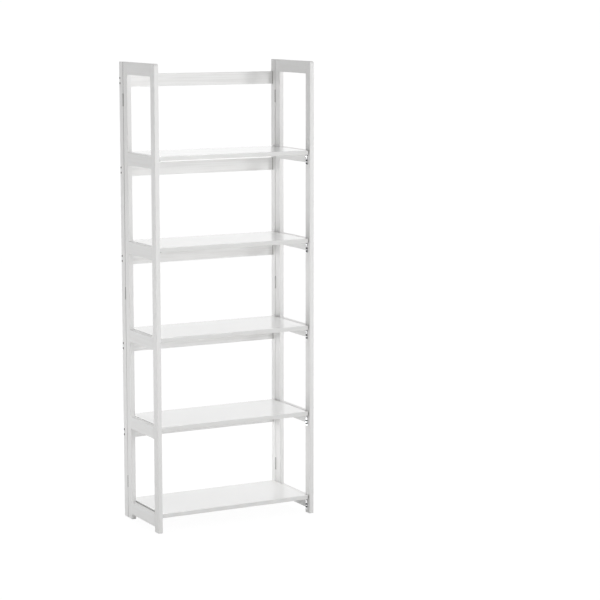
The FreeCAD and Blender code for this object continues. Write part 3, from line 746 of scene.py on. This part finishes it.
def catch():
    """One catch, below a shelf whose underside is at z = 0, with x from the stile's face.

    A rounded oblong is carried along a line up the stile, a quarter turn, and a line to the tip.
    Near each end it narrows by the circle of the strip's rounded corners.
    """
    centre_z = -catch_seat - catch_bend - catch_thickness / 2
    centre_x = -catch_bend - catch_thickness / 2
    turn = np.linspace(0, math.pi / 2, catch_bend_steps)
    foot_corner = catch_foot_round * (1 - np.cos(np.linspace(0, math.pi / 2, catch_foot_steps)))
    straight = np.linspace(-catch_drop + catch_straight, centre_z, 6)[:-1]
    rise = np.concatenate([-catch_drop + foot_corner, straight])
    upright = np.stack([np.full(len(rise), -catch_thickness / 2), rise], axis=1)
    bend = np.stack([centre_x + catch_bend * np.cos(turn), centre_z + catch_bend * np.sin(turn)], axis=1)
    before_tip = np.array([catch_tip_round, 0.4, 0.1, 0.0])        # distances from its end
    tip = np.stack([-catch_reach + before_tip, np.full(len(before_tip), centre_z + catch_bend)], axis=1)
    path = np.vstack([upright, bend, tip])
    steps = np.linalg.norm(np.diff(path, axis=0), axis=1)
    run = np.concatenate([[0], np.cumsum(steps)])
    ways = np.gradient(path, axis=0)
    ways /= np.linalg.norm(ways, axis=1, keepdims=True)
    sideways = np.stack([ways[:, 1], -ways[:, 0]], axis=1)

    def narrowing(radius, from_end):
        """How much a rounded corner takes off the strip's half width, this far from its end."""
        return np.sqrt(radius ** 2 - (radius - np.clip(from_end, 0, radius)) ** 2) - radius

    half = catch_width / 2 + narrowing(catch_foot_round, run) + narrowing(catch_tip_round, run[-1] - run)
    thick = np.full(len(path), catch_thickness / 2)
    thick[[0, -1]] -= catch_end_ease
    edge = np.linspace(0, math.pi / 2, catch_edge_steps)
    wide = np.concatenate([np.sin(edge), np.cos(edge), -np.sin(edge), -np.cos(edge)])
    deep = np.concatenate([np.cos(edge), -np.sin(edge), -np.cos(edge), np.sin(edge)])
    wide_side, deep_side = (np.where(np.round(part, 6) < 0, -1.0, 1.0) for part in (wide, deep))
    along_width = (half[:, None] - catch_ease) * wide_side + catch_ease * wide
    through = (thick[:, None] - catch_ease) * deep_side + catch_ease * deep
    flat = path[:, None, :] + sideways[:, None, :] * through[..., None]
    return skin(np.stack([flat[..., 0], along_width, flat[..., 1]], axis=-1))


catch_zinc = bright_metal("zinc_catch", along="Y",
                          edge_shade=lambda facing: unsigned(facing, "Y").over(*catch_edge_shade))
catch_places = [(inner_face, catch_y, under) for under in shelf_undersides]
for side, mirror in sides:
    build(f"{side}_catch_set", [copies(catch(), catch_places, (1, 0, 0), (0, 0, 1))],
          mirror, catch_zinc, f"{side}_side", f"{side}_shelf_catches")


# ---- The catch screws: steel, blackened, with a rounded head and a cross recess.
# Two go through each catch, one above the other, and hold it to the front stile.
head_radius, head_height, head_ease = 3.2, 2.0, 0.9
catch_screw_shank, catch_screw_length = 1.5, 13.5
crown = np.linspace(0, math.pi / 2, 5)
catch_cross_span, catch_cross_width = 1.92, 0.38
catch_screw_drops = (20.5, 30.5)               # below the shelf's underside
# From the recess's floor over the rounded head to its underside, and down the shank to the thread.
catch_screw = turned(*stacked(
    ([-1.1, -1.95], recess(catch_cross_span, catch_cross_width)),
    (-head_height + head_ease * (1 - np.cos(crown)),
     np.outer(head_radius - head_ease + head_ease * np.sin(crown), circle)),
    ([0.0, 0.0, 1.6], np.outer([head_radius, catch_screw_shank, catch_screw_shank], circle)),
    threaded(radius=catch_screw_shank, start=1.9, end=catch_screw_length,
             pitch=1.8, depth=0.35, point=4.0, angles=cross_angles)),
    angles=cross_angles)
catch_screw_places = [(inner_face - catch_thickness, catch_y, under - drop)
                      for under in shelf_undersides for drop in catch_screw_drops]
for side, mirror in sides:
    build(f"{side}_catch_screw_set", [copies(catch_screw, catch_screw_places, (0, 0, 1), (1, 0, 0))],
          mirror, rail_screw_steel, f"{side}_side", f"{side}_catch_screws")


# ---- The shelves: boards with a half-round rear edge, sprayed white and rubbed smooth.
# The lacquer lies thicker here than on the sticks and shows soft reflections of the posts. On the
# sawn edges it sinks in and leaves them a little duller; their greyer colour is partly that and
# partly painted shade.
shelf_white = (0.935, 0.935, 0.93, 1.0)
shelf_shaded = (0.905, 0.905, 0.895, 1.0)
shelf_edges_shaded = (0.735, 0.735, 0.725, 1.0)
shelf_gloss = 0.3
shelf_fill = 0.96
flat_face = (0.5, 0.9)         # from the edges, which look aside, to the top and the underside
lowest_rail_top = (0.0600, 0.0612)             # the lowest side rails end here
between_levels = (0.07, 0.1)   # above the lowest shelf's top


def shelf_end_shade(place):
    """The mask of painted shade on the shelves' ends beside the side rails, but for the lowest one's top
    part, which stands above the rails.
    """
    height = part_of(place, "Z")
    return 1 - (height.over(*lowest_rail_top) - height.over(*between_levels))


# The shelves' ends are painted grey as the shade in the narrow gap beside the side rails.
shelf_lacquer = white_lacquer(
    "lacquer_shelf", along="X", gloss=shelf_gloss, fill=shelf_fill, coat=1.0,
    light=shelf_white, shaded=shelf_shaded, ends=shelf_edges_shaded,
    cut=lambda facing: 1 - unsigned(facing, "Z").over(*flat_face),
    shade_mask=lambda place, facing: unsigned(facing, "X").over(*squarely) * shelf_end_shade(place))
for level in range(1, 6):
    finish(f"shelf_board_{level}", shelf_lacquer)
